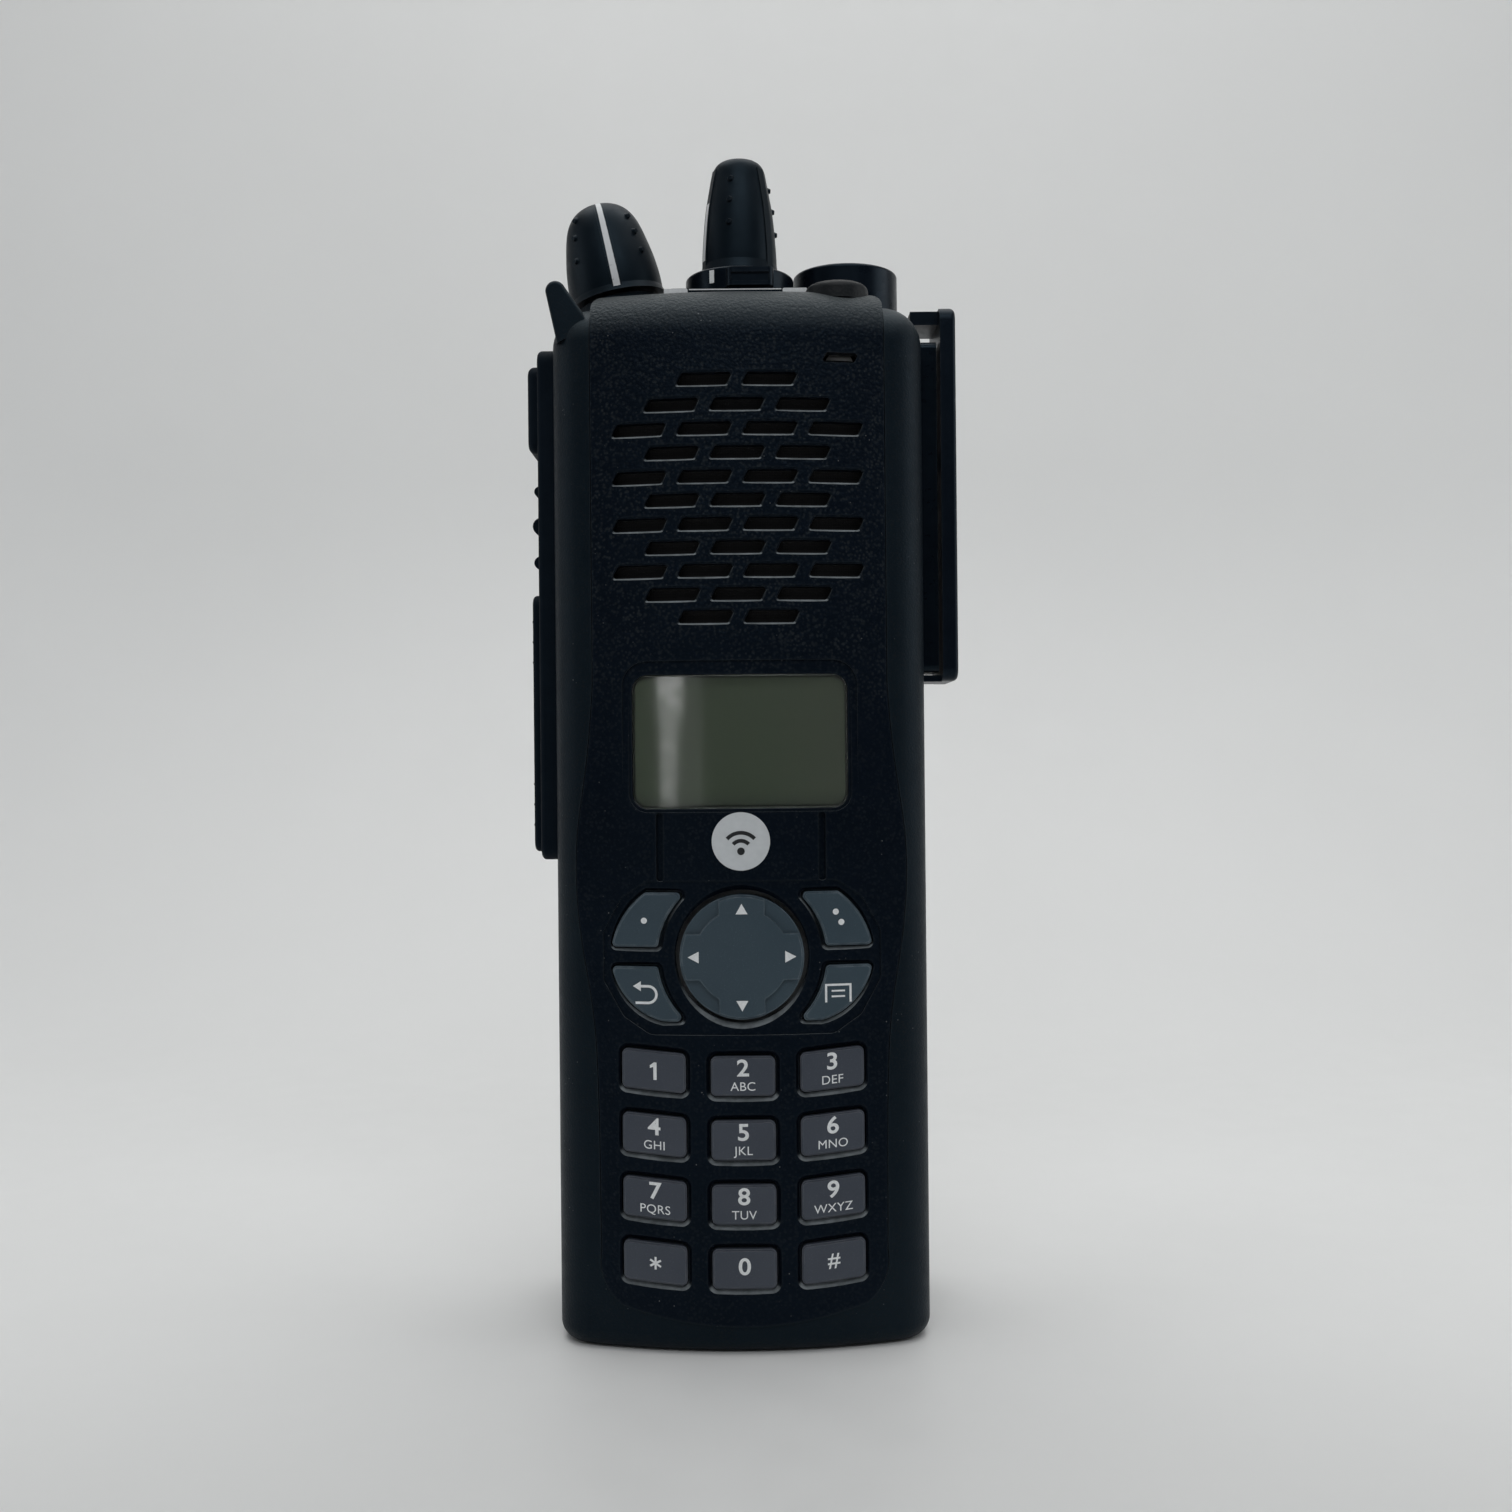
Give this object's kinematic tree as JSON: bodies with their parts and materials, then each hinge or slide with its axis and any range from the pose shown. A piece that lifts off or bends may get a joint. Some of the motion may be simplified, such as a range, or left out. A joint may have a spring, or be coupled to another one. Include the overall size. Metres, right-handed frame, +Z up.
{
  "type": "portable two-way radio",
  "caption": "Handheld two-way radio with display, keypad, four-way pad, knobs, push-to-talk bar, side accessory port and clip-on battery.",
  "frame": {"origin": "centre of the base that the radio stands on", "axes": "+Z up towards the knobs, keypad faces -Y, +X to the right of someone who faces the keypad"},
  "size_m": [0.0733, 0.0425, 0.2008],
  "materials": {
    "housing": "fine spark-eroded grain, satin",
    "panel": "coarse spark-eroded grain, satin",
    "lens": "clear polished window",
    "lcd": "grey-green display, unlit",
    "soft_rubber": "matt rubber",
    "badge": "light grey disc, bare",
    "silicone": "silicone",
    "board": "solder mask",
    "dome_metal": "stamped",
    "cast_metal": "as cast",
    "steel": "tin-plated sheet",
    "cone": "formed film",
    "paper": "woven dust mesh",
    "trim": "polished black",
    "brass": "machined",
    "gold": "gold-plated",
    "screw": "zinc-plated, dark",
    "key_cap": "satin grey key caps",
    "nav_cap": "satin slate caps",
    "knob": "soft-touch rubber",
    "battery": "fine grain, satin",
    "cell": "wrapped metal can"
  },
  "bodies": {
    "radio": {"main_housing": "housing", "front_panel": "panel", "display_lens": "lens", "lcd_module": "lcd", "lcd_gasket": "soft_rubber", "badge": "badge", "keypad_mat": "silicone", "keypad_board": "board", "key_domes": "dome_metal", "chassis": "cast_metal", "housing_seal": "soft_rubber", "main_board": "board", "shield_cans": "steel", "speaker_frame": "steel", "speaker_cone": "cone", "grille_cloth": "paper", "microphone": "steel", "volume_control": "steel", "channel_switch": "steel", "top_escutcheon": "trim", "antenna_collar": "trim", "antenna_socket": "brass", "side_bezel": "soft_rubber", "side_switches": "trim", "side_connector": "trim", "connector_contacts": "gold", "housing_screws": "screw"},
    "key_1": {"key_1": "key_cap"},
    "key_2": {"key_2": "key_cap"},
    "key_3": {"key_3": "key_cap"},
    "key_4": {"key_4": "key_cap"},
    "key_5": {"key_5": "key_cap"},
    "key_6": {"key_6": "key_cap"},
    "key_7": {"key_7": "key_cap"},
    "key_8": {"key_8": "key_cap"},
    "key_9": {"key_9": "key_cap"},
    "key_star": {"key_star": "key_cap"},
    "key_0": {"key_0": "key_cap"},
    "key_hash": {"key_hash": "key_cap"},
    "soft_key_left": {"soft_key_left": "nav_cap"},
    "soft_key_right": {"soft_key_right": "nav_cap"},
    "back_key": {"back_key": "nav_cap"},
    "menu_key": {"menu_key": "nav_cap"},
    "nav_pivot": {"nav_pivot": "trim"},
    "nav_pad": {"nav_pad": "nav_cap"},
    "volume_knob": {"volume_knob": "knob"},
    "channel_knob": {"channel_knob": "knob"},
    "toggle_ring": {"toggle_ring": "trim"},
    "top_button": {"top_button": "soft_rubber"},
    "ptt_button": {"ptt_button": "soft_rubber"},
    "side_button_upper": {"side_button_upper": "soft_rubber"},
    "side_button_lower": {"side_button_lower": "soft_rubber"},
    "accessory_cover": {"accessory_cover": "housing"},
    "cover_screw": {"cover_screw": "screw"},
    "battery": {"battery_case": "battery", "battery_lid": "battery", "battery_cells": "cell", "battery_contacts": "gold"},
    "battery_latch_left": {"battery_latch_left": "trim"},
    "battery_latch_right": {"battery_latch_right": "trim"}
  },
  "joints": [
    {"name": "key_1_press", "type": "slide", "parent": "radio", "child": "key_1", "axis": [0, 1, 0], "range_m": [0, 0.0006], "stiffness_N_per_m": 400, "springref_m": -0.0004},
    {"name": "key_2_press", "type": "slide", "parent": "radio", "child": "key_2", "axis": [0, 1, 0], "range_m": [0, 0.0006], "stiffness_N_per_m": 400, "springref_m": -0.0004},
    {"name": "key_3_press", "type": "slide", "parent": "radio", "child": "key_3", "axis": [0, 1, 0], "range_m": [0, 0.0006], "stiffness_N_per_m": 400, "springref_m": -0.0004},
    {"name": "key_4_press", "type": "slide", "parent": "radio", "child": "key_4", "axis": [0, 1, 0], "range_m": [0, 0.0006], "stiffness_N_per_m": 400, "springref_m": -0.0004},
    {"name": "key_5_press", "type": "slide", "parent": "radio", "child": "key_5", "axis": [0, 1, 0], "range_m": [0, 0.0006], "stiffness_N_per_m": 400, "springref_m": -0.0004},
    {"name": "key_6_press", "type": "slide", "parent": "radio", "child": "key_6", "axis": [0, 1, 0], "range_m": [0, 0.0006], "stiffness_N_per_m": 400, "springref_m": -0.0004},
    {"name": "key_7_press", "type": "slide", "parent": "radio", "child": "key_7", "axis": [0, 1, 0], "range_m": [0, 0.0006], "stiffness_N_per_m": 400, "springref_m": -0.0004},
    {"name": "key_8_press", "type": "slide", "parent": "radio", "child": "key_8", "axis": [0, 1, 0], "range_m": [0, 0.0006], "stiffness_N_per_m": 400, "springref_m": -0.0004},
    {"name": "key_9_press", "type": "slide", "parent": "radio", "child": "key_9", "axis": [0, 1, 0], "range_m": [0, 0.0006], "stiffness_N_per_m": 400, "springref_m": -0.0004},
    {"name": "key_star_press", "type": "slide", "parent": "radio", "child": "key_star", "axis": [0, 1, 0], "range_m": [0, 0.0006], "stiffness_N_per_m": 400, "springref_m": -0.0004},
    {"name": "key_0_press", "type": "slide", "parent": "radio", "child": "key_0", "axis": [0, 1, 0], "range_m": [0, 0.0006], "stiffness_N_per_m": 400, "springref_m": -0.0004},
    {"name": "key_hash_press", "type": "slide", "parent": "radio", "child": "key_hash", "axis": [0, 1, 0], "range_m": [0, 0.0006], "stiffness_N_per_m": 400, "springref_m": -0.0004},
    {"name": "soft_key_left_press", "type": "slide", "parent": "radio", "child": "soft_key_left", "axis": [0, 1, 0], "range_m": [0, 0.0006], "stiffness_N_per_m": 400, "springref_m": -0.0004},
    {"name": "soft_key_right_press", "type": "slide", "parent": "radio", "child": "soft_key_right", "axis": [0, 1, 0], "range_m": [0, 0.0006], "stiffness_N_per_m": 400, "springref_m": -0.0004},
    {"name": "back_key_press", "type": "slide", "parent": "radio", "child": "back_key", "axis": [0, 1, 0], "range_m": [0, 0.0006], "stiffness_N_per_m": 400, "springref_m": -0.0004},
    {"name": "menu_key_press", "type": "slide", "parent": "radio", "child": "menu_key", "axis": [0, 1, 0], "range_m": [0, 0.0006], "stiffness_N_per_m": 400, "springref_m": -0.0004},
    {"name": "nav_tilt_updown", "type": "hinge", "parent": "radio", "child": "nav_pivot", "pos_m": [0, -0.0169, 0.0647], "axis": [1, 0, 0], "range_deg": [-2.5, 2.5], "stiffness_Nm_per_rad": 0.2},
    {"name": "nav_tilt_leftright", "type": "hinge", "parent": "nav_pivot", "child": "nav_pad", "pos_m": [0, -0.0169, 0.0647], "axis": [0, 0, 1], "range_deg": [-2.5, 2.5], "stiffness_Nm_per_rad": 0.2},
    {"name": "volume_turn", "type": "hinge", "parent": "radio", "child": "volume_knob", "pos_m": [-0.0207, 0, 0.17665], "axis": [-0.2079, 0, 0.9781], "range_deg": [-140, 140]},
    {"name": "channel_turn", "type": "hinge", "parent": "radio", "child": "channel_knob", "pos_m": [0.0005, 0, 0.1806], "axis": [0, 0, 1], "range_deg": [-157.5, 180]},
    {"name": "ring_turn", "type": "hinge", "parent": "radio", "child": "toggle_ring", "pos_m": [0.0005, 0, 0.1784], "axis": [0, 0, 1], "range_deg": [-25, 25]},
    {"name": "top_button_press", "type": "slide", "parent": "radio", "child": "top_button", "axis": [0, 0, -1], "range_m": [0, 0.0012], "stiffness_N_per_m": 600, "springref_m": -0.0005},
    {"name": "ptt_press", "type": "slide", "parent": "radio", "child": "ptt_button", "axis": [1, 0, 0], "range_m": [0, 0.0011], "stiffness_N_per_m": 700, "springref_m": -0.0005},
    {"name": "side_upper_press", "type": "slide", "parent": "radio", "child": "side_button_upper", "axis": [1, 0, 0], "range_m": [0, 0.001], "stiffness_N_per_m": 500, "springref_m": -0.0005},
    {"name": "side_lower_press", "type": "slide", "parent": "radio", "child": "side_button_lower", "axis": [1, 0, 0], "range_m": [0, 0.001], "stiffness_N_per_m": 500, "springref_m": -0.0005},
    {"name": "cover_off", "type": "slide", "parent": "radio", "child": "accessory_cover", "axis": [1, 0, 0], "range_m": [0, 0.012]},
    {"name": "cover_screw_turn", "type": "hinge", "parent": "accessory_cover", "child": "cover_screw", "pos_m": [0.0363, 0, 0.1482], "axis": [1, 0, 0], "continuous": true},
    {"name": "battery_off", "type": "slide", "parent": "radio", "child": "battery", "axis": [0, 1, 0], "range_m": [0, 0.015]},
    {"name": "latch_left_press", "type": "slide", "parent": "battery", "child": "battery_latch_left", "axis": [1, 0, 0], "range_m": [0, 0.001], "stiffness_N_per_m": 500, "springref_m": -0.0005},
    {"name": "latch_right_press", "type": "slide", "parent": "battery", "child": "battery_latch_right", "axis": [-1, 0, 0], "range_m": [0, 0.001], "stiffness_N_per_m": 500, "springref_m": -0.0005}
  ]
}
